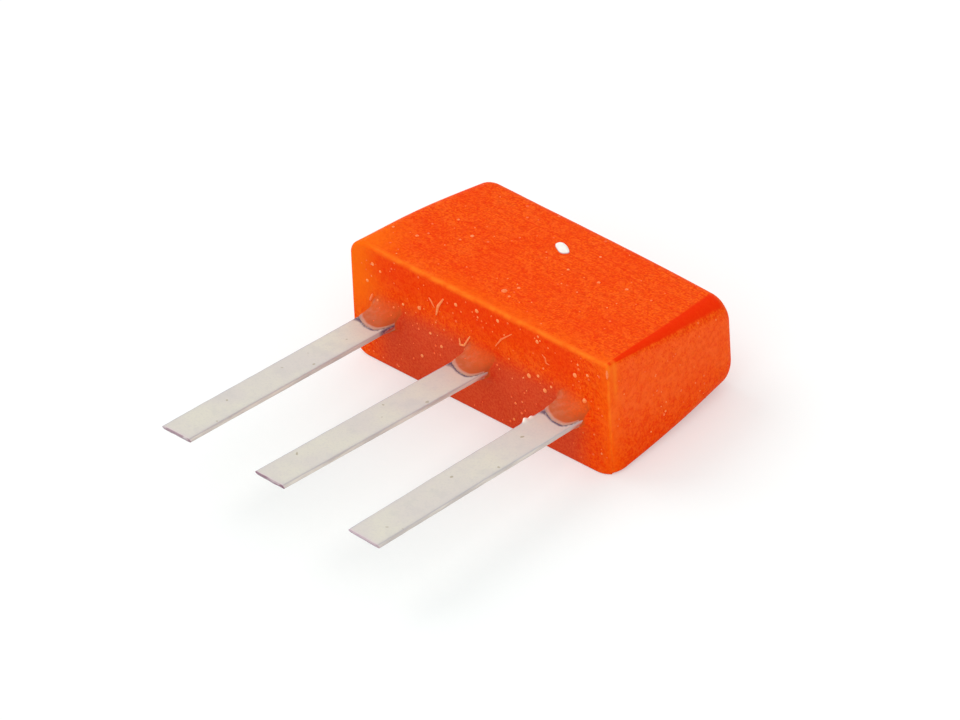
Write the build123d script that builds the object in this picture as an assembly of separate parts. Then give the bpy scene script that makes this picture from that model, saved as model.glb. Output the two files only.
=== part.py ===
from build123d import *
import math
import os

# Small-signal silicon npn transistor: three flat leads, a chip and two bond wires,
# potted in one tapered block of orange epoxy.
# Millimetres, +Z up. The block lies on a broad face at Z = 0, with the origin in the
# middle of that face. X runs along the row of leads, which point to -Y.
# The pieces are drawn in the casting frame: Y = 0 is the lead face, which is the open
# mouth of the mould, +Y goes into the block and Z = 0 is halfway up the lead face.

# Epoxy block, as large as its mould's mouth at the lead face, drafted to release
block_length = 6.9
block_thickness = 2.6
block_depth = 3.6
end_draft = 2.2
face_draft = 4.3
# Radii of the long edges, where they meet the lead face and where they meet the rear face
lower_left_at_leads = 0.18
lower_right_at_leads = 0.17
upper_right_at_leads = 0.08
upper_left_at_leads = 0.36
lower_left_at_rear = 0.43
lower_right_at_rear = 0.68
upper_right_at_rear = 0.47
upper_left_at_rear = 0.48
# Radii of the rims of the lead face and of the rear face
lead_face_rim_radius = 0.06
rear_face_rim_radius = 0.36

# Leads, sheared from thin strip, and the row that they stand in
lead_pitch = 2.5
lead_thickness = 0.12
lead_reach = 5.75
lead_edge_radius = 0.025
# The cut that parted the strip slants in under its tip
tip_undercut = 0.085
# Width of each lead, its height above the middle of the lead face, and in degrees how far
# its tip is raised and its right edge dips: each was sheared and bent a little differently
emitter_width = 0.71
emitter_height = -0.13
emitter_tilt = 1.7
emitter_twist = 0.5
collector_width = 0.73
collector_height = -0.1
collector_tilt = 1.9
collector_twist = 1.5
base_width = 0.77
base_height = -0.09
base_tilt = -0.6
base_twist = 3.0

# Resin that climbed each lead before it set. It ran far along the broad faces, stopped
# short on the sheared edges, and ends in a thin lip with rounded corners
collar_reach = 0.56
collar_rise = 0.42
collar_side_reach = 0.18
collar_side_spread = 0.14
collar_edge_inset = 0.03
collar_lip_thickness = 0.02
collar_lip_corner = 0.14
collar_section_roundness = 0.45
collar_root = 0.1
collar_steps = 8

# Ends of the leads inside the block
strip_depth = 1.9
foot_width = 0.7
foot_gap = 0.5
pad_width = 1.3
pad_length = 1.3
pad_setback = 0.8

# Chip, the layer that joins it to its pad, and the gold wires
chip_size = 0.5
chip_thickness = 0.2
bond_layer_thickness = 0.025
bond_layer_margin = 0.03
wire_radius = 0.025
ball_radius = 0.055
ball_height = 0.03
wire_spacing = 0.22
wire_loop_height = 0.32
wire_shoulder = 0.12

# Dot of white paint on the upper broad face, seen from the lead face
dot_radius = 0.13
dot_height = 0.07
dot_across = -0.19
dot_setback = 2.48


def block_outline(length, thickness, corner_radii, setback):
    """Rounded outline of the block this far behind the lead face, its radii from lower left."""
    right = length / 2
    top = thickness / 2
    corners = [(-right, -top), (right, -top), (right, top), (-right, top)]
    outline = FilletPolyline(*corners, radius=corner_radii, close=True)
    return Plane.XZ.offset(-setback) * outline


def flank(mouth_edge, rear_edge):
    """One drafted side between the two outlines: flat behind a line, conical behind an arc."""
    if mouth_edge.geom_type == GeomType.LINE:
        corners = (mouth_edge @ 0, mouth_edge @ 1, rear_edge @ 1, rear_edge @ 0)
        return make_face(Polyline(*corners, close=True))
    return Face.make_surface_from_curves(mouth_edge, rear_edge)


def tapered_block():
    """The plain casting: each long edge is crisp at the lead face and rounder behind."""
    rear_length = block_length - 2 * block_depth * math.tan(math.radians(end_draft))
    rear_thickness = block_thickness - 2 * block_depth * math.tan(math.radians(face_draft))
    mouth_corners = [lower_left_at_leads, lower_right_at_leads, upper_right_at_leads, upper_left_at_leads]
    rear_corners = [lower_left_at_rear, lower_right_at_rear, upper_right_at_rear, upper_left_at_rear]
    mouth = block_outline(block_length, block_thickness, mouth_corners, 0)
    rear = block_outline(rear_length, rear_thickness, rear_corners, block_depth)
    flanks = [flank(ahead, behind) for ahead, behind in zip(mouth.edges(), rear.edges())]
    casting = Solid(Shell(flanks + [make_face(mouth), make_face(rear)]))
    rear_edges = casting.faces().sort_by(Axis.Y)[-1].outer_wire().edges()
    casting = fillet(rear_edges, rear_face_rim_radius)
    mouth_edges = casting.faces().sort_by(Axis.Y)[0].outer_wire().edges()
    return fillet(mouth_edges, lead_face_rim_radius)


def lead_seat(across, height, tilt, twist):
    """Where a lead crosses the lead face, with its own -Y pointing out along it."""
    return Pos(across, 0, height) * Rot(X=-tilt) * Rot(Y=twist)


def hollow_curve(distance, reach):
    """Quarter of a hollow ellipse: 1 at no distance, falling to 0 at its reach."""
    if distance >= reach:
        return 0
    return 1 - math.sqrt(1 - (1 - distance / reach) ** 2)


def collar_section(lead_width, out, climbed):
    """Outline of a collar this far out along its lead, climbed being 1 where it starts."""
    rise = collar_lip_thickness + collar_rise * climbed
    spread = collar_side_spread * hollow_curve(out, collar_side_reach) - collar_edge_inset
    tip_inset = collar_lip_corner * hollow_curve(collar_reach - out, collar_lip_corner)
    width = lead_width + 2 * (spread - tip_inset)
    height = lead_thickness + 2 * rise
    corner = collar_section_roundness * min(width, height)
    return Plane.XZ.offset(out) * RectangleRounded(width, height, corner)


def collar(lead_width):
    """The resin round one lead, swelling from its lip to where it leaves the lead face."""
    sections = [Pos(0, collar_root, 0) * collar_section(lead_width, 0, 1)]
    for step in range(collar_steps + 1):
        turn = math.pi / 2 * step / collar_steps
        out = collar_reach * (1 - math.cos(turn))
        sections.append(collar_section(lead_width, out, 1 - math.sin(turn)))
    return loft(sections, ruled=True)


def strip_plan(lead_width, inner_end):
    """Plan of the plain strip from its sheared tip to its end in the block."""
    length = lead_reach + inner_end
    return Pos(0, inner_end - length / 2) * Rectangle(lead_width, length)


def foot_middle():
    """How far behind the lead face the bonding feet lie."""
    return strip_depth - foot_width / 2


def foot_reach():
    """How far each bonding foot runs from the middle of its lead toward the pad."""
    return lead_pitch - pad_width / 2 - foot_gap


def footed_plan(side, lead_width):
    """Plan of an outer lead, with a bonding foot turned toward the chip."""
    length = foot_reach() + lead_width / 2
    across = (foot_reach() - lead_width / 2) / 2
    foot = Pos(-side * across, foot_middle()) * Rectangle(length, foot_width)
    return strip_plan(lead_width, strip_depth) + foot


def pad_middle():
    """How far behind the lead face the chip sits on its pad."""
    return pad_setback + pad_length / 2


def pad_plan():
    """Plan of the collector lead, which widens into the pad under the chip."""
    pad = Pos(0, pad_middle()) * Rectangle(pad_width, pad_length)
    return strip_plan(collector_width, pad_middle()) + pad


def flat_lead(plan):
    """A lead cut from strip: its long edges are rubbed round and its tip is cut on a slant."""
    lead = extrude(plan, lead_thickness / 2, both=True)
    long_edges = lead.edges().filter_by(lambda edge: edge.length > lead_reach)
    lead = fillet(long_edges, lead_edge_radius)
    upper_tip = (0, -lead_reach, lead_thickness / 2)
    slanted_cut = Plane(upper_tip, x_dir=(1, 0, 0), z_dir=(0, -lead_thickness, -tip_undercut))
    return split(lead, bisect_by=slanted_cut, keep=Keep.BOTTOM)


def chip_stack():
    """The chip and the layer under it, on the collector pad."""
    layer_size = chip_size + 2 * bond_layer_margin
    on_base = (Align.CENTER, Align.CENTER, Align.MIN)
    layer = Box(layer_size, layer_size, bond_layer_thickness, align=on_base)
    chip = Box(chip_size, chip_size, chip_thickness, align=on_base)
    on_pad = Pos(0, pad_middle(), lead_thickness / 2)
    return on_pad * Pos(0, 0, bond_layer_thickness) * chip, on_pad * layer


def bond_wire(ball_seat, stitch):
    """Gold wire that rises from its ball, kinks over and runs straight to a bonding foot."""
    toward = Vector(stitch.X - ball_seat.X, stitch.Y - ball_seat.Y, 0).normalized()
    peak = ball_seat + Vector(0, 0, wire_loop_height)
    kink = peak - Vector(0, 0, wire_shoulder)
    crest = peak + toward * wire_shoulder
    # The wire is drawn on into the foot until its whole section is below the surface
    last_run = stitch - crest
    steepness = -last_run.Z / math.hypot(last_run.X, last_run.Y)
    overrun = wire_radius / steepness + wire_radius
    buried_end = stitch + last_run.normalized() * overrun
    path = Polyline(ball_seat, kink, crest, buried_end)
    section = Plane(ball_seat, z_dir=(0, 0, 1)) * Circle(wire_radius)
    wire = sweep(section, path=path, transition=Transition.RIGHT)
    ball = Cylinder(ball_radius, 2 * ball_height)
    return wire + Pos(ball_seat) * ball


def paint_dot():
    """A shallow lens of paint, flat against the upper broad face."""
    sphere_radius = (dot_radius**2 + dot_height**2) / (2 * dot_height)
    lens = Pos(0, 0, dot_height - sphere_radius) * Sphere(sphere_radius)
    lens = split(lens, bisect_by=Plane.XY, keep=Keep.TOP)
    slope = math.tan(math.radians(face_draft))
    on_face = Pos(dot_across, dot_setback, block_thickness / 2 - dot_setback * slope)
    return on_face * Rot(X=-face_draft) * lens


emitter_seat = lead_seat(-lead_pitch, emitter_height, emitter_tilt, emitter_twist)
collector_seat = lead_seat(0, collector_height, collector_tilt, collector_twist)
base_seat = lead_seat(lead_pitch, base_height, base_tilt, base_twist)

emitter_lead = emitter_seat * flat_lead(footed_plan(-1, emitter_width))
collector_lead = collector_seat * flat_lead(pad_plan())
base_lead = base_seat * flat_lead(footed_plan(1, base_width))

chip, bond_layer = chip_stack()
silicon_chip = collector_seat * chip
chip_bond_layer = collector_seat * bond_layer


def wire_ends(side, outer_seat):
    """Top of the chip under the ball, and the top of the foot under the stitch."""
    chip_top = lead_thickness / 2 + bond_layer_thickness + chip_thickness
    stitch_across = foot_reach() - foot_width / 2
    ball_seat = collector_seat * Pos(side * wire_spacing / 2, pad_middle(), chip_top)
    stitch = outer_seat * Pos(-side * stitch_across, foot_middle(), lead_thickness / 2)
    return ball_seat.position, stitch.position


emitter_wire = bond_wire(*wire_ends(-1, emitter_seat)) - emitter_lead - silicon_chip
base_wire = bond_wire(*wire_ends(1, base_seat)) - base_lead - silicon_chip

epoxy_body = tapered_block()
epoxy_body = epoxy_body + emitter_seat * collar(emitter_width)
epoxy_body = epoxy_body + collector_seat * collar(collector_width)
epoxy_body = epoxy_body + base_seat * collar(base_width)
for inner in (emitter_lead, collector_lead, base_lead, chip_bond_layer, silicon_chip):
    epoxy_body = epoxy_body - inner
epoxy_body = epoxy_body - emitter_wire - base_wire

# The block settles on its lower broad face, so the draft tips the leads up a little
draft_angle = math.radians(face_draft)
rest_middle = block_depth / (2 * math.cos(draft_angle)) - block_thickness / 2 * math.sin(draft_angle)
rest_height = block_thickness / 2 * math.cos(draft_angle)
settled = Pos(0, -rest_middle, rest_height) * Rot(X=-face_draft)

pieces = {
    "epoxy_body": epoxy_body,
    "emitter_lead": emitter_lead,
    "collector_lead": collector_lead,
    "base_lead": base_lead,
    "silicon_chip": silicon_chip,
    "chip_bond_layer": chip_bond_layer,
    "emitter_bond_wire": emitter_wire,
    "base_bond_wire": base_wire,
    "paint_dot": paint_dot(),
}

os.makedirs("parts", exist_ok=True)
for name, piece in pieces.items():
    export_step(settled * piece, "parts/" + name + ".step")
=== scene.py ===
import math
import bmesh
import bpy
import numpy as np
from mathutils import Matrix, Vector, noise
from mathutils.bvhtree import BVHTree


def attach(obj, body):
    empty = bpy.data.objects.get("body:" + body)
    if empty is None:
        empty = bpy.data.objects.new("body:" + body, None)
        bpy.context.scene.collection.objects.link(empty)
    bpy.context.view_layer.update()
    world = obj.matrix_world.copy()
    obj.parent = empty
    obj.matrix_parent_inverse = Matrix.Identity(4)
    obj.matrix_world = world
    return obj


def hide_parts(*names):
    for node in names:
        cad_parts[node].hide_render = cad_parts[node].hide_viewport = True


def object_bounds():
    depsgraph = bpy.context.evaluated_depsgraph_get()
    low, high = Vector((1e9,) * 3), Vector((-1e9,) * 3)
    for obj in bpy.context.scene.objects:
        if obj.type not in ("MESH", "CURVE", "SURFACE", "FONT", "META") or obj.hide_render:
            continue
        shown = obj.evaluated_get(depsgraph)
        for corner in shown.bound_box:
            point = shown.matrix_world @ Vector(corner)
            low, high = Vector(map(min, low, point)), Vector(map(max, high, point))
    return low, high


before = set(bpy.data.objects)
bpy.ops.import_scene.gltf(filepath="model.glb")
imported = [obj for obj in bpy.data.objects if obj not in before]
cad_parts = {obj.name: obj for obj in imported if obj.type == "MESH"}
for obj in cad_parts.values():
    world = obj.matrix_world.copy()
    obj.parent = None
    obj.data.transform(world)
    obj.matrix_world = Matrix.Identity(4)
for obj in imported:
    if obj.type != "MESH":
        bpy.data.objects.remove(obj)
cad_low, cad_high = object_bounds()

# Leads: three flat strips sheared from thin metal sheet and dipped in tin. Each is one piece
# with its bonding foot, or with the pad under the chip, and the epoxy grips that inner end.
# Each strip was left bent a little, and a burr of tin stands on one edge of the base lead.
mm = 0.001
block_thickness = 2.6
block_depth = 3.6
face_draft = 4.3
lead_pitch = 2.5
lead_thickness = 0.12
lead_reach = 5.75
tip_undercut = 0.085
strip_depth = 1.9
foot_width = 0.7
foot_gap = 0.5
pad_width = 1.3
pad_length = 1.3
pad_setback = 0.8
sheared_edge_radius = 0.03
strip_wander = 0.012
edge_waver = 0.004
tin_ripple = 0.0025
undercut_run = 0.3
sheared_tip_unevenness = 0.008
burr_start = 0.72
burr_end = 1.06
burr_height = 0.04
burr_width = 0.06
burr_fade = 0.06
contact_line = 0.034
contact_wedge = 0.11
contact_gap = 0.012
shaded_wall_run = 0.6
smear_height = 0.4
smear_slope = 1.2
tip_mark_run = 0.1
coarse_step = 0.1
fine_step = 0.02
fine_run = 1.3
side_step = 0.045
side_margin = 0.04

# The pieces are drawn in millimetres in the casting frame: Y is 0 on the lead face and runs
# into the block. The block lies on its lower face, so the draft turns everything with it.
draft_angle = math.radians(face_draft)
rest_middle = block_depth / (2 * math.cos(draft_angle)) - block_thickness / 2 * math.sin(draft_angle)
rest_height = block_thickness / 2 * math.cos(draft_angle)
in_metres = Matrix.Scale(mm, 4)
settled = Matrix.Translation((0, -rest_middle, rest_height)) @ Matrix.Rotation(-draft_angle, 4, "X")

# The film of resin on a lead's broad faces ends in a slanted bowl, as seen from above
film_reach_left = 0.42
film_reach_right = 0.6
film_corner_left = 0.03
film_corner_right = 0.18
film_side_reach = 0.17


class Strip:
    """One lead: where it crosses the lead face, and how far its resin collar climbed it."""

    def __init__(self, name, side, width, height, tilt, twist, tip_shade_share, unshaded_wall):
        self.name = name
        self.side = side
        self.across = side * lead_pitch
        self.half = width / 2
        self.height = height
        self.tip_shade_share = tip_shade_share
        self.unshaded_wall = unshaded_wall
        self.rise_per_reach = math.tan(math.radians(tilt))
        self.dip_per_width = math.sin(math.radians(twist))
        turned = Matrix.Rotation(math.radians(-tilt), 4, "X") @ Matrix.Rotation(math.radians(twist), 4, "Y")
        self.seat = settled @ Matrix.Translation((self.across, 0, height)) @ turned

    def film_reach(self, aside):
        """How far out the film runs on the broad faces, this far to the right of the middle."""
        aside = np.clip(aside, -self.half, self.half)
        share = np.clip((aside + self.half) / self.half, 0, 1) ** 0.7
        front = film_reach_left + (film_reach_right - film_reach_left) * share
        from_left = np.clip((aside + self.half) / film_corner_left, 0, 1)
        from_right = np.clip((self.half - aside) / film_corner_right, 0, 1)
        rounding = np.sqrt(1 - (1 - from_left) ** 2) * np.sqrt(1 - (1 - from_right) ** 2)
        return film_side_reach + (front - film_side_reach) * rounding


# Each strip's tip share sets how dark its painted tip shade is, and its wall share how far the painted
# contact shade keeps off its side walls.
strips = [
    Strip("emitter", side=-1, width=0.71, height=-0.13, tilt=1.7, twist=0.5, tip_shade_share=0.8, unshaded_wall=0.0),
    Strip("collector", side=0, width=0.73, height=-0.1, tilt=1.9, twist=1.5, tip_shade_share=1.0, unshaded_wall=0.8),
    Strip("base", side=1, width=0.77, height=-0.09, tilt=-0.6, twist=3.0, tip_shade_share=0.4, unshaded_wall=1.0),
]


def new_piece(name, points, faces, placing, material, marks):
    """A smooth mesh piece on the part, with one number per point under each mark's name."""
    mesh = bpy.data.meshes.new(name)
    mesh.from_pydata(points.tolist(), [], faces)
    mesh.transform(in_metres @ placing)
    mesh.polygons.foreach_set("use_smooth", [True] * len(mesh.polygons))
    for title, values in marks.items():
        layer = mesh.attributes.new(title, "FLOAT", "POINT")
        layer.data.foreach_set("value", np.asarray(values, np.float32))
    mesh.materials.append(material)
    piece = bpy.data.objects.new(name, mesh)
    bpy.context.scene.collection.objects.link(piece)
    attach(piece, "root")
    return piece


def even_levels(low, high, step):
    """Evenly spaced levels from low to high, at most one step apart."""
    return np.linspace(low, high, max(2, math.ceil((high - low) / step) + 1))


def slab(across, along, inside):
    """A flat slab of the plan's cells for which inside is true, with rounded rims."""
    made = bmesh.new()
    corner = {}
    for i in range(len(across) - 1):
        for j in range(len(along) - 1):
            if inside((across[i] + across[i + 1]) / 2, (along[j] + along[j + 1]) / 2):
                ring = []
                for a, b in ((i, j), (i + 1, j), (i + 1, j + 1), (i, j + 1)):
                    if (a, b) not in corner:
                        corner[a, b] = made.verts.new((across[a], along[b], lead_thickness / 2))
                    ring.append(corner[a, b])
                made.faces.new(ring)
    lower = bmesh.ops.duplicate(made, geom=list(made.faces))["geom"]
    for part in lower:
        if isinstance(part, bmesh.types.BMVert):
            part.co.z = -lead_thickness / 2
    bmesh.ops.reverse_faces(made, faces=[part for part in lower if isinstance(part, bmesh.types.BMFace)])
    bmesh.ops.bridge_loops(made, edges=[edge for edge in made.edges if edge.is_boundary])
    made.normal_update()
    rims = [edge for edge in made.edges if edge.calc_face_angle(0) > 1]
    bmesh.ops.bevel(made, geom=rims, offset=sheared_edge_radius, segments=3, profile=0.5, affect="EDGES")
    made.verts.index_update()
    points = np.array([vertex.co for vertex in made.verts])
    faces = [[vertex.index for vertex in face.verts] for face in made.faces]
    made.free()
    return points, faces


def lead_slab(strip):
    """The slab of one lead: plain strip, then a foot turned toward the chip or the chip's pad."""
    half = strip.half
    if strip.side:
        toe = -strip.side * (lead_pitch - pad_width / 2 - foot_gap)
        inner_end = strip_depth
        wide = (min(toe, -half), max(toe, half))
        wide_from = strip_depth - foot_width
    else:
        inner_end = pad_setback + pad_length
        wide = (-pad_width / 2, pad_width / 2)
        wide_from = pad_setback
    core = even_levels(-half + side_margin, half - side_margin, side_step)
    wings = [even_levels(wide[0], -half, coarse_step), core, even_levels(half, wide[1], coarse_step)]
    across = np.unique(np.round(np.concatenate(wings), 6))
    runs = [
        even_levels(-lead_reach, -fine_run, coarse_step),
        even_levels(-fine_run, 0, fine_step),
        even_levels(0, inner_end, coarse_step),
        [wide_from],
    ]
    along = np.unique(np.round(np.concatenate(runs), 6))

    def inside(x, y):
        return abs(x) < half or (y > wide_from and wide[0] < x < wide[1])

    return slab(across, along, inside)


class Signal:
    """A node's output in a material. Python's operators on it add Math nodes."""

    def __init__(self, tree, output=None):
        self.tree = tree
        self.output = output

    def node(self, kind, settings=None, inputs=None, output=0):
        """A new node: its settings first, then its sockets' values or links."""
        made = self.tree.nodes.new("ShaderNode" + kind)
        for name, value in (settings or {}).items():
            setattr(made, name, value)
        for name, value in (inputs or {}).items():
            if isinstance(value, Signal):
                self.tree.links.new(value.output, made.inputs[name])
            else:
                made.inputs[name].default_value = value
        return Signal(self.tree, made.outputs[output] if made.outputs else None)

    def math(self, operation, first, second):
        return self.node("Math", {"operation": operation}, {0: first, 1: second})

    def __add__(self, other):
        return self.math("ADD", self, other)

    def __radd__(self, other):
        return self.math("ADD", other, self)

    def __sub__(self, other):
        return self.math("SUBTRACT", self, other)

    def __rsub__(self, other):
        return self.math("SUBTRACT", other, self)

    def __mul__(self, other):
        return self.math("MULTIPLY", self, other)

    def __rmul__(self, other):
        return self.math("MULTIPLY", other, self)

    def between(self, low, high):
        """0 where this is at low, 1 where it is at high, smooth between and held outside."""
        settings = {"interpolation_type": "SMOOTHSTEP", "clamp": True}
        return self.node("MapRange", settings, {"Value": self, "From Min": low, "From Max": high})

    def near(self, middle, reach):
        """1 where this is at the middle, falling to 0 at its reach to either side."""
        return self.node("Math", {"operation": "ABSOLUTE"}, {0: self - middle}).between(reach, 0.0)

    def tint(self, none, full):
        """The colour none where this is 0 and full where it is 1."""
        return self.node("Mix", {"data_type": "RGBA"}, {0: self, 6: none, 7: full}, output=2)

    def attribute(self, title):
        return self.node("Attribute", {"attribute_name": title}, output="Fac")

    def speckle(self, place, per_mm, detail=2.0):
        """Noise with this many features to the millimetre, from 0 to 1."""
        return self.node("TexNoise", {}, {"Vector": place, "Scale": per_mm / mm, "Detail": detail})

    def stretched(self, place, stretch, turn=0.0):
        """The place squeezed along each axis, so that noise on it runs out in streaks."""
        return self.node("Mapping", {}, {"Vector": place, "Scale": stretch, "Rotation": (0, 0, turn)})

    def bump(self, depth_in_mm):
        """The normal of a surface that this raises by as much as the depth."""
        return self.node("Bump", {}, {"Height": self, "Strength": 1.0, "Distance": depth_in_mm * mm})


def colour(red, green, blue):
    """A display colour of 0 to 255 as the linear colour that a shader takes."""
    shares = [value / 255 for value in (red, green, blue)]
    linear = [((share + 0.055) / 1.055) ** 2.4 if share > 0.04 else share / 12.92 for share in shares]
    return (*linear, 1.0)


def surface(name, **uniform):
    """A material, the signal that its nodes start from, the place on the piece, and its shader."""
    material = bpy.data.materials.new(name)
    material.use_nodes = True
    shader = material.node_tree.nodes["Principled BSDF"]
    for title, value in uniform.items():
        shader.inputs[title.replace("_", " ")].default_value = value
    base = Signal(material.node_tree)
    return material, base, base.node("TexCoord", output="Object"), shader


def feed(shader, **signals):
    """Links each signal to the shader's socket of that name."""
    for title, signal in signals.items():
        signal.tree.links.new(signal.output, shader.inputs[title.replace("_", " ")])


tin_grey = colour(213, 207, 200)
tin_warm = colour(218, 214, 200)
tin_dull = colour(201, 198, 195)
tin_spot = colour(170, 158, 132)
edge_shade_purple = colour(166, 160, 178)
sheared_grey_painted_light = colour(226, 219, 208)
sheared_dark = colour(200, 192, 186)
tip_shade_purple = colour(148, 118, 130)
tip_pink = colour(218, 196, 204)
contact_shade_purple = colour(104, 92, 114)
burr_highlight = colour(255, 240, 226)
wall_smear = colour(210, 84, 52)

tin, base, place, shader = surface("dipped_tin", Metallic=0.3, Specular_IOR_Level=0.3)
blotch = base.speckle(place, 1.1, 3.0).between(0.35, 0.7)
patch = base.speckle(place, 3.2, 2.0).between(0.5, 0.75)
fine = base.speckle(place, 22.0, 2.0)
streak = base.speckle(base.stretched(place, (1.0, 0.12, 1.0)), 9.0, 3.0)
wall = base.attribute("wall")
rim = base.attribute("rim")
left = base.attribute("left")
tip = base.attribute("tip")
tip_shade = base.attribute("tip_shade")
patchy = base.speckle(place, 4.0, 2.0).between(0.3, 0.5)
face_colour = blotch.tint(tin_grey, tin_warm)
face_colour = (patch * 0.35).tint(face_colour, tin_dull)
face_colour = (fine.between(0.45, 0.75) * 0.35).tint(face_colour, tin_dull)
face_colour = (base.speckle(place, 6.0, 1.0).between(0.74, 0.78) * 0.8).tint(face_colour, tin_spot)
# Painted shade: the tin darkens toward its rims and tip, and a purple line of painted shade runs along its
# left edge.
face_colour = (rim.between(0.12, 0.0) * 0.35).tint(face_colour, tin_dull)
left_edge_shade = rim.between(0.045, 0.01) * left * (0.4 + 0.6 * streak.between(0.4, 0.6))
face_colour = left_edge_shade.tint(face_colour, edge_shade_purple)
# The lower side wall is streaky sheared grey, partly its own colour and partly painted light: it is lighter
# than the tin, to lift the shade beside the block.
face_colour = wall.tint(face_colour, streak.between(0.35, 0.65).tint(sheared_grey_painted_light, sheared_dark))
# Painted shade: a purple line along the right edge of the broad face.
right_edge_shade = rim.between(0.022, 0.0) * (1 - left) * (1 - wall)
face_colour = (right_edge_shade * 0.6).tint(face_colour, edge_shade_purple)
face_colour = (tip * 0.6 * patchy).tint(face_colour, tip_pink)
# Painted shade: a dark purple line at the tip, where the undercut end face is in shade.
face_colour = (tip.between(0.7, 1.0) * tip_shade * patchy).tint(face_colour, tip_shade_purple)
# Painted shade: a dark purple line on the tin where the lip of the resin film meets it.
contact_shade_mask = base.attribute("contact") * (0.6 + 0.4 * fine.between(0.35, 0.5))
face_colour = contact_shade_mask.tint(face_colour, contact_shade_purple)
face_colour = (base.attribute("smeared") * 0.9).tint(face_colour, wall_smear)
# Painted highlight: the burr is painted near white where it catches the light.
face_colour = base.attribute("burr").tint(face_colour, burr_highlight)
feed(
    shader,
    Base_Color=face_colour,
    Roughness=0.42 + 0.16 * fine + 0.08 * patch,
    Normal=(streak * 0.5 + fine * 0.5 + blotch).bump(0.002),
)

for strip in strips:
    points, faces = lead_slab(strip)
    half = strip.half
    aside, along, lift = points.T.copy()
    from_edge = half - np.abs(aside)
    from_tip = lead_reach + along
    level = lift / lead_thickness
    side_wall = np.clip((sheared_edge_radius - from_edge) / sheared_edge_radius, 0, 1) * (along < 0.5)
    beyond = -along - strip.film_reach(aside)
    # The contact line is painted shade: a dark band just past the film's lip, widening to a wedge at the
    # lead's left edge. On the emitter the same painted shade runs along the right wall near the block.
    contact_width = contact_line + contact_wedge * np.exp(-(((aside + half) / contact_wedge) ** 2))
    contact = np.exp(-(((beyond - contact_gap) / contact_width) ** 4)) * (1 - side_wall * strip.unshaded_wall)
    right_wall = side_wall * (aside > 0)
    shaded_wall = right_wall * (strip.unshaded_wall == 0) * np.clip((along + shaded_wall_run) / 0.1, 0, 1)
    smeared_up_to = smear_height + along * smear_slope
    burr = np.zeros(len(points))
    for k, (x, y, z) in enumerate(points):
        seed = Vector((0, y, 7 * strip.across))
        spot = Vector((x, y, z + 7 * strip.across))
        if y < 0:
            taper = min(1, -y)
            sideways = noise.noise(seed * 0.5) * strip_wander + noise.noise(spot * 6.0) * edge_waver
            points[k, 0] += sideways * taper
            points[k, 2] += noise.noise(spot * 3.0) * tin_ripple * taper
        under = min(max(1 - from_tip[k] / undercut_run, 0), 1)
        ragged_tip = sheared_tip_unevenness * noise.noise(spot * 9.0)
        points[k, 1] += (tip_undercut * (0.5 - level[k]) + ragged_tip) * under
        if strip.name == "base" and x < -half + burr_width and burr_start < -y < burr_end:
            ragged = max(0, 0.5 + 1.2 * noise.noise(Vector((0, y * 9.0, 3))))
            fade = min(1, (-y - burr_start) / burr_fade, (burr_end + y) / burr_fade)
            burr[k] = fade * min(1, (-half + burr_width - x) / burr_height)
            points[k, 0] -= burr_height * ragged * burr[k]
            points[k, 2] += burr_height * ragged * burr[k]
    marks = {
        "wall": side_wall * np.clip((0.42 - level) / 0.15, 0, 1),
        "rim": np.abs(np.minimum(from_edge, from_tip)),
        "left": aside < 0,
        "tip": np.clip((tip_mark_run - from_tip) / (tip_mark_run - sheared_edge_radius), 0, 1),
        "tip_shade": np.full(len(points), strip.tip_shade_share),
        "smeared": right_wall * np.clip((smeared_up_to - level) / 0.25, 0, 1),
        "contact": np.maximum(contact, shaded_wall),
        "burr": burr,
    }
    piece = new_piece(strip.name + "_strip", points, faces, strip.seat, tin, marks)
    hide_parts(strip.name + "_lead")

# Chip and the layer under it: a square of polished silicon, sawn from its wafer, joined to the
# collector's pad by a thin layer of gold-silicon alloy. The solids already have their shape.
silicon, base, place, shader = surface("sawn_silicon", Metallic=0.3, Specular_IOR_Level=0.6)
shade = base.speckle(place, 6.0, 3.0)
silicon_grey = shade.between(0.3, 0.7).tint(colour(58, 60, 68), colour(78, 80, 92))
feed(shader, Base_Color=silicon_grey, Roughness=0.18 + 0.2 * shade)
alloy, base, place, shader = surface("bond_alloy", Metallic=1.0)
shade = base.speckle(place, 12.0, 3.0)
alloy_gold = shade.between(0.3, 0.7).tint(colour(176, 156, 112), colour(196, 184, 150))
feed(shader, Base_Color=alloy_gold, Roughness=0.35 + 0.25 * shade)


def dress_solid(name, material):
    """Gives a piece that stays as the solids have it this material alone."""
    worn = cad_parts[name].data.materials
    worn.clear()
    worn.append(material)


dress_solid("silicon_chip", silicon)
dress_solid("chip_bond_layer", alloy)

# Bond wires: fine drawn gold wire, balled and pressed onto the chip at one end and crushed
# onto a lead's foot at the other. The solids already have their shape.
gold, base, place, shader = surface("drawn_gold", Metallic=1.0)
shade = base.speckle(place, 20.0, 2.0)
wire_gold = shade.between(0.3, 0.7).tint(colour(236, 190, 96), colour(246, 208, 128))
feed(shader, Base_Color=wire_gold, Roughness=0.2 + 0.15 * shade)
dress_solid("emitter_bond_wire", gold)
dress_solid("base_bond_wire", gold)

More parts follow.
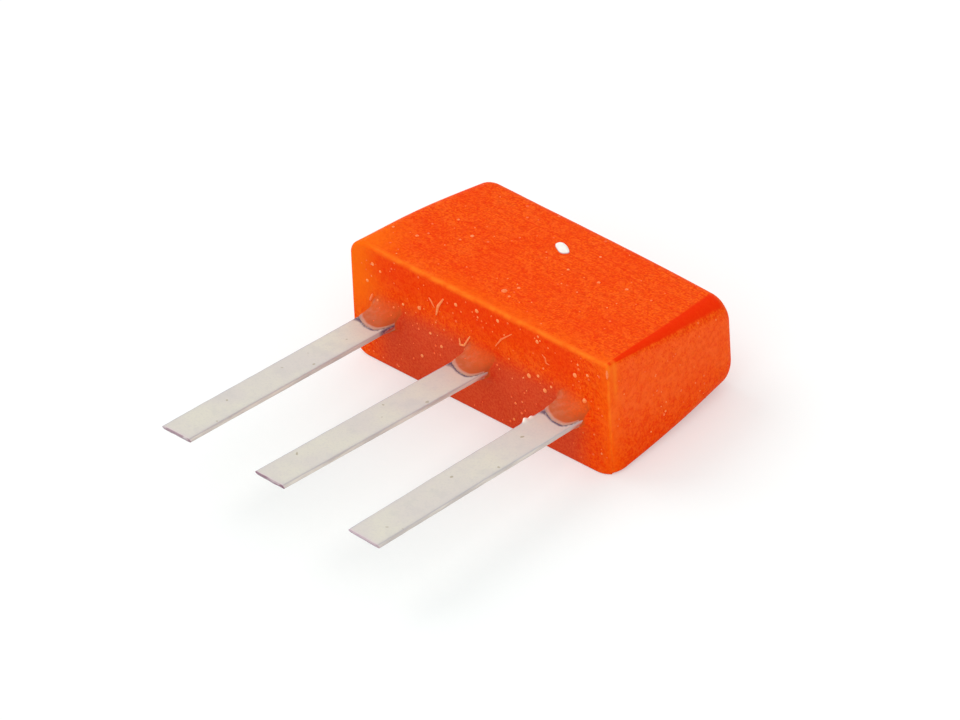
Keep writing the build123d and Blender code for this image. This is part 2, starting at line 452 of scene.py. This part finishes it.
# Epoxy block: orange-red epoxy poured round the leads in an open mould and released by its
# draft. Its faces swell a little, and its long edges round out behind, the right ones from
# nearly sharp. The resin climbed each lead before it set, thinning there until metal shows.
block_length = 6.9
end_draft = 2.2
edge_radii_at_leads = {(-1, -1): 0.36, (1, -1): 0.08, (1, 1): 0.08, (-1, 1): 0.36}
edge_radii_at_rear = {(-1, -1): 0.43, (1, -1): 0.68, (1, 1): 0.5, (-1, 1): 0.46}
lead_face_rim_radii = {"left": 0.04, "right": 0.05, "top": 0.08, "bottom": 0.035}
rear_face_rim_radius = 0.3
near_corner_radius = 0.44
near_corner_start = 0.5
face_swell = {"left": 0.035, "right": 0.05, "top": 0.045}
rear_crown = 0.03
rear_crown_fall = 2.2
skin_allowance = 0.002
hand_unevenness = 0.004
collar_rise = 0.5
collar_spread = 0.14
collar_sharpness = 3.8
collar_crest = 0.05
collar_shoulder = 0.65
film_lip = 0.012
film_below = 5
film_left = 3
film_right_above = 2
film_right_wall = 25
film_wall_height = 0.15
levels_across = 214
levels_deep = 62
levels_above = 56
levels_below = 46
half_length = block_length / 2
half_thickness = block_thickness / 2


def graded_levels(low, high, count, crowds):
    """Levels from low to high that crowd together at each (place, width, strength)."""
    fine = np.linspace(low, high, 4000)
    density = np.ones(len(fine))
    for middle, width, strength in crowds:
        density += strength * np.exp(-(((fine - middle) / width) ** 2))
    share = np.concatenate([[0], np.cumsum((density[1:] + density[:-1]) / 2)])
    return np.interp(np.linspace(0, share[-1], count), share, fine)


def box_skin(x, y, z):
    """The six sides of a lattice as points and faces, and each point's place along y."""
    shape = (len(x), len(y), len(z))
    outer = np.ones(shape, bool)
    outer[1:-1, 1:-1, 1:-1] = False
    index = np.full(shape, -1)
    index[outer] = np.arange(outer.sum())
    i, j, k = np.nonzero(outer)
    sides = ((index[:, :, 0], True), (index[:, :, -1], False), (index[:, 0, :], False))
    sides += ((index[:, -1, :], True), (index[0], True), (index[-1], False))
    faces = []
    for side, turned in sides:
        quads = np.stack([side[:-1, :-1], side[1:, :-1], side[1:, 1:], side[:-1, 1:]], axis=-1).reshape(-1, 4)
        faces += (quads[:, ::-1] if turned else quads).tolist()
    return np.stack([x[i], y[j], z[k]], axis=1), faces, j


def rolled(inset, depth, radius):
    """Where a point near a rim goes when the rim is rounded: its new inset and its new depth."""
    near = (inset < radius) & (depth < radius)
    from_end = (1 - inset / radius) * math.pi / 4
    from_side = math.pi / 2 - (1 - depth / radius) * math.pi / 4
    turn = np.where(depth <= 0, from_end, from_side)
    new_inset = np.where(near, radius * (1 - np.sin(turn)), inset)
    return new_inset, np.where(near, radius * (1 - np.cos(turn)), depth)


side_crowds = [(-half_length, 0.25, 5), (half_length, 0.25, 5)]
for strip in strips:
    side_crowds += [(strip.across - strip.half, 0.12, 5), (strip.across + strip.half, 0.12, 5)]
row_height = float(np.mean([strip.height for strip in strips]))
above_crowds = [(row_height, 0.18, 9), (half_thickness, 0.2, 3)]
below_crowds = [(row_height, 0.16, 9), (-half_thickness, 0.2, 3)]
deep_crowds = [(0, 0.12, 8), (block_depth, 0.25, 4)]
above = graded_levels(row_height + lead_thickness / 2, half_thickness, levels_above, above_crowds)
below = graded_levels(-half_thickness, row_height - lead_thickness / 2, levels_below, below_crowds)
points, skin_faces, layer = box_skin(
    graded_levels(-half_length, half_length, levels_across, side_crowds) / half_length,
    graded_levels(0, block_depth, levels_deep, deep_crowds),
    np.concatenate([below, [row_height], above]) / half_thickness,
)
u, depth, v = points.T.copy()
on_mouth = layer == 0
on_rear = layer == layer.max()
on_end = on_mouth | on_rear
share = depth / block_depth
swelling = 4 * share * (1 - share)
swell_across = np.where(u < 0, face_swell["left"], face_swell["right"]) * swelling**2
crown = rear_crown * share * (1 - rear_crown_fall * np.clip(u, 0, 1) ** 2)
swell_up = np.where(v > 0, face_swell["top"] * swelling + crown, 0)
width = half_length - skin_allowance - depth * math.tan(math.radians(end_draft)) + swell_across
height = half_thickness - skin_allowance - depth * math.tan(draft_angle) + swell_up
x = u * width
z = v * height

# Rounds the four long edges, with a radius that grows toward the rear
radius = np.zeros(len(points))
for (sideways, upward), at_leads in edge_radii_at_leads.items():
    here = (np.sign(x) == sideways) & (np.sign(z) == upward)
    radius[here] = (at_leads + (edge_radii_at_rear[sideways, upward] - at_leads) * share)[here]
out_x = np.abs(x) - (width - radius)
out_z = np.abs(z) - (height - radius)
in_corner = (out_x > 0) & (out_z > 0)
longest = np.maximum(out_x, out_z)
slant = np.maximum(np.hypot(out_x, out_z), 1e-9)
x = np.where(in_corner, np.sign(x) * (width - radius + out_x * longest / slant), x)
z = np.where(in_corner, np.sign(z) * (height - radius + out_z * longest / slant), z)
inset_x = width - np.abs(x)
inset_z = height - np.abs(z)
inset = np.where(in_corner, radius - longest, np.minimum(inset_x, inset_z))
toward_x = np.where(in_corner, out_x / slant, inset_x < inset_z) * np.sign(x)
toward_z = np.where(in_corner, out_z / slant, inset_x >= inset_z) * np.sign(z)
turn = np.where(in_corner, np.arctan2(out_x, out_z) / (math.pi / 2), inset_x < inset_z)

# Rounds the rims of the lead face and of the rear face
rim_radius = np.where(toward_x < 0, lead_face_rim_radii["left"], lead_face_rim_radii["right"]) * toward_x**2
rim_radius += np.where(toward_z < 0, lead_face_rim_radii["bottom"], lead_face_rim_radii["top"]) * toward_z**2
near_mouth = on_mouth | (depth < rim_radius)
near_rear = on_rear | (block_depth - depth < rear_face_rim_radius)
start = np.where(on_end, inset, 0)
mouth_inset, mouth_depth = rolled(start, np.where(on_mouth, 0, np.maximum(depth, 1e-9)), rim_radius)
from_rear = np.where(on_rear, 0, np.maximum(block_depth - depth, 1e-9))
rear_inset, rear_depth = rolled(start, from_rear, rear_face_rim_radius)
moved = np.where(near_mouth, mouth_inset - start, np.where(near_rear, rear_inset - start, 0))
y = np.where(near_mouth, mouth_depth, np.where(near_rear, block_depth - rear_depth, depth))
x = x - toward_x * moved
z = z - toward_z * moved

# Rounds the lower end of the upright edge between the lead face and the right end
toward_bottom = np.clip((near_corner_start - z) / (near_corner_start + half_thickness), 1e-6, 1)
upright = near_corner_radius * toward_bottom**2
out_x = x - (width - upright)
out_y = upright - y
beyond = (out_x > 0) & (out_y > 0)
shrink = np.maximum(out_x, out_y) / np.maximum(np.hypot(out_x, out_y), 1e-9)
x = np.where(beyond, width - upright + out_x * shrink, x)
y = np.where(beyond, upright - out_y * shrink, y) * (1 - 2 * skin_allowance / block_depth)

# Lets the lattice on the lead face follow the leads, then draws the collars out along them. The
# film value, for colour alone, grows faster below a lead and beside its right wall.
knots = [-half_length]
line = [0]
for strip in strips:
    for reach in (-0.8, 0.8):
        knots.append(strip.across + reach)
        line.append(strip.height - reach * strip.dip_per_width - row_height)
knots.append(half_length)
line.append(0)
z = z + np.interp(x, knots, line) * np.clip(1 - (z / half_thickness) ** 2, 0, 1) * on_mouth
film = np.ones(len(points))
left_glare = np.zeros(len(points))
drawn = np.zeros(len(points))
for strip in strips:
    aside = x - strip.across
    middle = strip.height - aside * strip.dip_per_width
    off_face = np.clip(np.abs(z - middle) - lead_thickness / 2 - film_lip, 0, None)
    off_edge = np.clip(np.abs(aside) - strip.half, 0, None)
    at_wall = np.clip(1 - off_face / film_wall_height, 0, 1)
    film_right = film_right_above + (film_right_wall - film_right_above) * at_wall
    thickening = off_face * np.where(z < strip.height, film_below, 1)
    thickening += off_edge * np.where(aside > 0, film_right, film_left)
    crest = 1 - collar_shoulder * np.clip((aside - collar_crest) / (strip.half + collar_crest), -1, 1) ** 2
    off_face = off_face / crest
    away = np.hypot(off_face / collar_rise, off_edge / collar_spread)
    out = strip.film_reach(aside) * np.clip(1 - away, 0, 1) ** collar_sharpness * on_mouth
    here = out > drawn
    drawn = np.where(here, out, drawn)
    z = z + np.where(here, out * strip.rise_per_reach, 0)
    film = np.where(here, np.minimum(film, thickening), film)
    # This mark, strongest on the left of each collar, carries a painted reflection.
    left_glare = np.where(here, np.clip(0.5 - aside / strip.half / 2, 0, 1), left_glare)
y = y - drawn

waves = np.array([noise.noise(Vector(p) * 0.8) + 0.35 * noise.noise(Vector(p) * 2.6) for p in zip(x, y, z)])
inward = -hand_unevenness * (1 + waves) * (drawn < 0.001)
x = x + inward * toward_x * ~on_end
z = z + inward * toward_z * ~on_end
y = y + inward * (on_rear * 1.0 - on_mouth)
marks = {
    "film": film,
    "left_glare": left_glare,
    "rim": np.where(on_mouth, inset, depth),
    "front": on_mouth,
    "across": x,
    "depth": y,
    "height": z,
    "turn": turn * (u > 0) * ~on_end,
}

resin_dark = colour(238, 50, 0)
resin_light = colour(251, 100, 12)
resin_deep = colour(240, 50, 0)
resin_orange = colour(254, 110, 6)
resin_highlight = colour(255, 124, 30)
resin_mottle = colour(255, 112, 34)
resin_shade = colour(226, 54, 4)
resin_end = colour(255, 102, 42)
resin_lower_shade = colour(208, 62, 32)
resin_lower_shade_light = colour(218, 82, 46)
band_shade_red = colour(242, 44, 0)
glare_grey = colour(214, 150, 122)
film_brown = colour(204, 98, 40)
film_umber = colour(180, 90, 52)
film_grey_and_highlight = colour(236, 184, 164)

resin, base, place, shader = surface(
    "cast_epoxy",
    Specular_IOR_Level=0.02,
    Subsurface_Weight=0.15,
    Subsurface_Radius=(1.0, 0.2, 0.05),
    Subsurface_Scale=0.2 * mm,
)
grain = base.speckle(place, 24.0, 3.0)
dust = base.speckle(place, 34.0, 1.0)
cloud = base.speckle(place, 0.8, 2.0).between(0.35, 0.65)
scratch = base.speckle(base.stretched(place, (0.04, 1.0, 1.0), 0.04), 26.0, 2.0)
rim = base.attribute("rim")
front = base.attribute("front")
across = base.attribute("across")
deep = base.attribute("depth")
high = base.attribute("height")
film = base.attribute("film")
left_glare = base.attribute("left_glare")
turn = base.attribute("turn")
mottle = base.speckle(place, 8.0, 3.0).between(0.4, 0.7)
shade = base.speckle(place, 13.0, 2.0).between(0.46, 0.7)
speck = grain.between(0.3, 0.7)
skin = speck.tint(resin_dark, resin_light)
skin = (mottle * 0.45).tint(skin, resin_mottle)
skin = (shade * 0.5).tint(skin, resin_shade)
skin = (cloud * 0.3).tint(skin, resin_deep)
end_glow = turn.between(0.62, 0.9) * high.between(-0.9, 0.3) * (0.35 + 0.3 * mottle)
skin = end_glow.tint(skin, resin_end)
scratched = scratch.between(0.56, 0.68) * (1 - front) * high.between(0.3, 0.8)
skin = (scratched * 0.6).tint(skin, resin_dark)
top_glow = (1 - front) * high.between(0.6, 1.2) * rim.between(0.6, 0.05) * (0.4 + 0.6 * cloud)
skin = (top_glow * 0.4).tint(skin, resin_orange)
left_glow = across.between(-2.2, -3.3) * deep.between(1.5, 0.1) * high.between(-0.9, 0.3)
skin = (left_glow * 0.8).tint(skin, resin_orange)
# Painted shade: deeper red on the lead face just under its upper rim.
under_ridge_shade = front * high.between(0.35, 0.9) * across.between(2.9, 2.2) * across.between(-3.2, -2.6)
skin = (under_ridge_shade * 0.5).tint(skin, resin_deep)
right_glow = across.between(3.0, 3.45) * deep.between(0.5, 0.0)
skin = (right_glow * 0.35).tint(skin, resin_orange)
# Painted shade: the lower half of the lead face is darker and duller.
lower_front_shade = front * high.between(0.5, -0.1) * across.between(-3.2, -2.4) * across.between(3.0, 2.3)
skin = (lower_front_shade * 0.9).tint(skin, speck.tint(resin_lower_shade, resin_lower_shade_light))
# Painted shade: a darker red band on the rounded edge between the top and the right end.
edge_band_shade = turn.between(0.0, 0.1) * turn.between(0.62, 0.48) * high.between(0.2, 0.4)
skin = (edge_band_shade * deep.between(0.03, 0.1) * deep.between(3.5, 3.3) * 0.9).tint(skin, band_shade_red)
# Painted highlights: a bright orange line along the upper rim of the lead face, and soft bright lines down
# the near upright edge.
broken = 0.55 + 0.45 * base.speckle(place, 5.0, 3.0).between(0.35, 0.6)
ridge_highlight = rim.between(0.14, 0.0) * high.between(0.95, 1.2) * across.between(-3.4, -2.2) * broken
skin = (ridge_highlight * 0.9).tint(skin, resin_highlight)
on_edge = rim.near(0.0, 0.07) * high.between(1.05, 0.9)
past_edge = rim.near(0.2, 0.1) * (1 - front) * high.between(0.2, 0.8)
near_edge_highlight = (on_edge + past_edge) * across.between(3.2, 3.4) * high.between(-1.3, -0.3) * broken
skin = (near_edge_highlight * 0.7).tint(skin, resin_highlight)
skin = (film.between(0.42, 0.04) * (0.85 - 0.45 * speck)).tint(skin, film_brown)
skin = (film.between(0.12, 0.02) * 0.6).tint(skin, film_umber)
# Painted reflection: a pale pinkish glare on the left of each collar where the film thins.
skin = (film.between(0.3, 0.05) * left_glare * 0.4 * (0.3 + 0.7 * mottle)).tint(skin, glare_grey)
# Partly real and partly painted highlight: the thinnest lip of film turns pale grey, where the tin shows
# through and a bright line is painted.
skin = (film.between(0.02, 0.006) * 0.75).tint(skin, film_grey_and_highlight)
feed(
    shader,
    Base_Color=skin,
    Roughness=0.42 + 0.2 * grain,
    Alpha=1 - 0.4 * film.between(0.02, 0.0),
    Normal=(grain * 0.5 + dust * 0.3 + scratch * 0.4).bump(0.004),
)
skin_points = np.stack([x, y, z], axis=1)
casting = new_piece("epoxy_casting", skin_points, skin_faces, settled, resin, marks)
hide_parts("epoxy_body")

# Fibres and bubbles: short hairs and small bubbles of air that the resin caught at its skin
# as it set. They stand out a few hundredths of a millimetre, paler than the epoxy. The last
# fibre is no hair but a pale streak on the near upright edge, a painted glint.
bubble_squash = 0.45
least_bubble = 0.014
bubble_range = 0.018
hair_end = 0.45
hair_steps = 6
fibres = [
    (0.03, 0.8, [(-0.94, 0.94), (-1.09, 0.72), (-1.16, 0.48)]),
    (0.018, 0.5, [(-1.34, 0.8), (-1.27, 0.74), (-1.2, 0.63)]),
    (0.024, 1.0, [(-0.56, 0.21), (-0.53, 0.07), (-0.43, 0.1), (-0.26, 0.38)]),
    (0.018, 0.3, [(0.42, 0.45), (0.59, 0.68), (0.88, 0.92)]),
    (0.03, 0.4, [(-2.96, 0.04), (-2.92, 0.12), (-2.88, 0.22)]),
    (0.018, 0.3, [(1.69, 0.81), (1.77, 0.76), (1.79, 0.66), (1.87, 0.65)]),
    # Painted glint: a pale streak at the top of the near upright edge.
    (0.024, 0.35, [(3.42, 1.19), (3.42, 1.1), (3.42, 1.0)]),
]
front_bubbles = [
    (-0.61, 0.95, 0.04), (-0.04, 1.05, 0.045), (0.52, 1.07, 0.04), (-1.62, 0.44, 0.045), (-1.35, -0.02, 0.03),
    (-1.06, -0.2, 0.035), (-1.61, -0.65, 0.035), (-2.06, 0.33, 0.03), (1.3, 0.16, 0.05), (1.55, 0.26, 0.035),
    (1.72, 0.0, 0.05), (1.89, 0.16, 0.03), (2.79, 0.24, 0.05), (2.55, 0.71, 0.05), (2.89, 0.85, 0.035),
    (1.57, 1.05, 0.04), (-2.84, 0.92, 0.04), (-2.64, 0.83, 0.03), (-3.01, 0.47, 0.035), (0.83, -1.04, 0.03),
]
top_bubbles = [
    (-1.61, 0.05, 0.06), (0.12, 0.6, 0.06), (0.25, 0.86, 0.035), (0.33, 0.52, 0.03), (-1.73, 1.61, 0.04),
    (-2.35, 1.86, 0.03), (-2.5, 0.89, 0.035), (-3.06, 0.81, 0.03), (1.19, 2.07, 0.035), (1.74, 2.27, 0.035),
]
scattered = {"front": 170, "top": 60, "right": 40, "rear": 40, "left": 25}
chance = np.random.default_rng(11)
skin_tree = BVHTree.FromPolygons(skin_points.tolist(), skin_faces)


def on_skin(start, toward):
    """Where a line into the casting meets its skin, and which way the skin faces there."""
    where, facing, _, _ = skin_tree.ray_cast(Vector(start), Vector(toward))
    return where, facing


def ring_faces(first, rings, around):
    """Four-sided faces between rings of points, the first of which starts at that index."""
    faces = []
    for ring in range(rings - 1):
        for step in range(around):
            here = first + ring * around + step
            beside = first + ring * around + (step + 1) % around
            faces.append([here, here + around, beside + around, beside])
    return faces


def dome(seat, size, rings=4, around=10):
    """A flattened bubble, half sunk into the skin."""
    where, facing = seat
    upright = facing.to_track_quat("Z", "Y").to_matrix()
    points = [where + facing * size * bubble_squash]
    for ring in range(1, rings * 2):
        lean = math.pi * ring / (rings * 2)
        for step in range(around):
            turn = math.tau * step / around
            out = math.sin(lean)
            spot = Vector((out * math.cos(turn), out * math.sin(turn), math.cos(lean) * bubble_squash))
            points.append(where + upright @ spot * size)
    points.append(where - facing * size * bubble_squash)
    faces = [[0, 1 + step, 1 + (step + 1) % around] for step in range(around)]
    faces += ring_faces(1, rings * 2 - 1, around)
    last = 1 + (rings * 2 - 2) * around
    faces += [[last + around, last + (step + 1) % around, last + step] for step in range(around)]
    return points, faces


def tube(run, size, around=7):
    """A hair along a run of places on the skin, thinner toward its ends."""
    path = []
    for a, b in zip(run[:-1], run[1:]):
        for step in range(hair_steps):
            path.append(a.lerp(b, step / hair_steps))
    path.append(run[-1])
    points = []
    for k, spot in enumerate(path):
        ahead = (path[min(k + 1, len(path) - 1)] - path[max(k - 1, 0)]).normalized()
        turned = ahead.to_track_quat("Z", "Y").to_matrix()
        thick = size * (hair_end + (1 - hair_end) * math.sin(math.pi * (k + 0.5) / len(path)))
        for step in range(around):
            turn = math.tau * step / around
            points.append(spot + turned @ Vector((math.cos(turn), math.sin(turn), 0)) * thick)
    faces = [[a, d, c, b] for a, b, c, d in ring_faces(0, len(path), around)]
    faces += [list(range(around))[::-1], list(range(len(points) - around, len(points)))]
    return points, faces


def joined(pieces):
    """Several pieces' points, faces and paleness as one, without those that pass the solids' box."""
    points, faces, pale = [], [], []
    for paleness, (more_points, more_faces) in pieces:
        spots = [in_metres @ settled @ point for point in more_points]
        if all(low < value < high for p in spots for low, value, high in zip(cad_low, p, cad_high)):
            faces += [[index + len(points) for index in face] for face in more_faces]
            points += more_points
            pale += [paleness] * len(more_points)
    return np.array(points), faces, {"pale": pale}


caught, base, place, shader = surface("caught_air", Specular_IOR_Level=0.2)
shade = base.speckle(place, 30.0, 2.0)
faint = shade.between(0.3, 0.7).tint(colour(248, 92, 34), colour(252, 120, 62))
bright = shade.between(0.3, 0.7).tint(colour(255, 140, 66), colour(255, 174, 112))
feed(shader, Base_Color=base.attribute("pale").tint(faint, bright), Roughness=0.3 + 0.3 * shade)

hairs = []
for size, paleness, run in fibres:
    seats = [on_skin((a, -2, b), (0, 1, 0)) for a, b in run]
    hairs.append((paleness, tube([where for where, facing in seats], size)))
points, faces, marks = joined(hairs)
new_piece("resin_fibres", points, faces, settled, caught, marks)

bubbles = [(0.8, dome(on_skin((a, -2, b), (0, 1, 0)), size)) for a, b, size in front_bubbles]
bubbles += [(0.5, dome(on_skin((a, b, 3), (0, 0, -1)), size)) for a, b, size in top_bubbles]
for side, count in scattered.items():
    for a, b, c, paleness in chance.uniform(-1, 1, (count, 4)):
        if side == "front":
            seat = on_skin((a * 3.3, -2, b * 1.2), (0, 1, 0))
        elif side == "top":
            seat = on_skin((a * 3.2, 1.75 + b * 1.6, 3), (0, 0, -1))
        elif side == "rear":
            seat = on_skin((a * 3.1, 6, b * 0.9), (0, -1, 0))
        else:
            outward = 1 if side == "right" else -1
            seat = on_skin((outward * 6, 1.75 + a * 1.6, b), (-outward, 0, 0))
        size = least_bubble + bubble_range * abs(c) ** 3
        bubbles.append((max(0, paleness), dome(seat, size, rings=3, around=8)))
points, faces, marks = joined(bubbles)
new_piece("resin_bubbles", points, faces, settled, caught, marks)

# Paint bead: one touch of thick white paint on the upper broad face, dried to a low bead
# with an uneven outline.
bead_across = -0.2
bead_setback = 2.5
bead_half_length = 0.24
bead_half_width = 0.115
bead_height = 0.05
bead_turn = -25
bead_squareness = 2.6
bead_unevenness = 0.12
bead_fullness = 3.5
bead_sunk = 0.004
rings = 9
around = 40
points = [(0, 0, bead_height)]
outward = [0]
for ring in range(1, rings + 1):
    share = ring / rings
    outward += [share] * around
    for step in range(around):
        angle = math.tau * step / around
        rightward, backward = math.cos(angle), math.sin(angle)
        squared = abs(rightward) ** bead_squareness + abs(backward) ** bead_squareness
        uneven = 1 + bead_unevenness * noise.noise(Vector((rightward * 1.4, backward * 1.4, 5)))
        reach = share * squared ** (-1 / bead_squareness) * uneven
        height = bead_height * (1 - share**bead_fullness) - bead_sunk
        points.append((reach * bead_half_length * rightward, reach * bead_half_width * backward, height))
faces = [[0, 1 + step, 1 + (step + 1) % around] for step in range(around)]
faces += ring_faces(1, rings, around)
where, facing = on_skin((bead_across, bead_setback, 3), (0, 0, -1))
upright = facing.to_track_quat("Z", "Y").to_matrix().to_4x4()
turned = upright @ Matrix.Rotation(math.radians(bead_turn), 4, "Z")
paint, base, place, shader = surface("white_paint", Specular_IOR_Level=0.3)
shade = base.speckle(place, 9.0, 3.0)
white = shade.between(0.3, 0.7).tint(colour(252, 249, 243), colour(244, 238, 228))
# Painted shadow: the bead's outer ring is dark red-brown, as its contact shadow.
rim_shadow = base.attribute("outward").between(0.84, 1.0)
feed(shader, Base_Color=rim_shadow.tint(white, colour(176, 92, 84)), Roughness=0.45 + 0.2 * shade)
placing = settled @ Matrix.Translation(where) @ turned
bead = new_piece("paint_bead", np.array(points), faces, placing, paint, {"outward": outward})
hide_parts("paint_dot")

# Floor, lights and camera: a seamless white table under an even sky of light, with a soft key
# from the left and a softer fill from the front, seen from above through a very long lens.
camera_azimuth = 48.4135
camera_elevation = 36.4009
camera_roll = -6.8555
view_width = 18.272 * mm
aim = Vector((-0.0609, -1.6752, 1.2)) * mm
lens = 1000.0
sensor = 36.0
floor_half = 2.0
floor_glow = 0.36
sky_level = 0.8
lamps = [("key", 0.75, 40, (-0.65, -0.1, 0.75)), ("fill", 0.5, 80, (0.5, -0.75, 0.45))]

azimuth = math.radians(camera_azimuth)
elevation = math.radians(camera_elevation)
outward = math.cos(elevation)
toward = Vector((math.sin(azimuth) * outward, -math.cos(azimuth) * outward, math.sin(elevation)))
camera_data = bpy.data.cameras.new("camera")
camera_data.lens = lens
camera_data.sensor_width = sensor
camera_data.clip_start = 0.01
camera_data.clip_end = 10.0
camera = bpy.data.objects.new("camera", camera_data)
camera.rotation_mode = "QUATERNION"
facing_back = toward.to_track_quat("Z", "Y").to_matrix().to_4x4()
rolled_back = Matrix.Rotation(math.radians(camera_roll), 4, toward) @ facing_back
camera.matrix_world = Matrix.Translation(aim + toward * view_width * lens / sensor) @ rolled_back
bpy.context.scene.collection.objects.link(camera)
bpy.context.scene.camera = camera

floor_mesh = bpy.data.meshes.new("floor")
corners = [(x * floor_half, y * floor_half, 0) for x, y in ((-1, -1), (1, -1), (1, 1), (-1, 1))]
floor_mesh.from_pydata(corners, [], [(0, 1, 2, 3)])
floor = bpy.data.objects.new("floor", floor_mesh)
bpy.context.scene.collection.objects.link(floor)
table = bpy.data.materials.new("white_table")
table.use_nodes = True
table.node_tree.nodes.clear()


def showing(base):
    """1 for the rays that show the background: straight, mirrored or through a clear body."""
    straight = base.node("LightPath", output="Is Camera Ray")
    mirrored = base.node("LightPath", output="Is Glossy Ray")
    return straight + mirrored + base.node("LightPath", output="Is Transmission Ray")


base = Signal(table.node_tree)
shown = showing(base)
floor_white = shown.tint(colour(242, 242, 242), colour(214, 213, 212))
matte = base.node("BsdfDiffuse", {}, {"Color": floor_white})
glow = base.node("Emission", {}, {"Color": (0.9, 1, 1, 1), "Strength": shown * floor_glow})
base.node("OutputMaterial", {}, {"Surface": base.node("AddShader", {}, {0: matte, 1: glow})})
floor_mesh.materials.append(table)

world = bpy.data.worlds.new("sky")
bpy.context.scene.world = world
world.use_nodes = True
background = world.node_tree.nodes["Background"]
background.inputs["Color"].default_value = (1, 1, 1, 1)
level = showing(Signal(world.node_tree)) * (1 - sky_level) + sky_level
world.node_tree.links.new(level.output, background.inputs["Strength"])

for name, energy, spread, source in lamps:
    lamp = bpy.data.objects.new(name, bpy.data.lights.new(name, "SUN"))
    lamp.data.energy = energy
    lamp.data.angle = math.radians(spread)
    lamp.rotation_euler = Vector(source).to_track_quat("Z", "Y").to_euler()
    bpy.context.scene.collection.objects.link(lamp)

bpy.context.scene.view_settings.view_transform = "Standard"
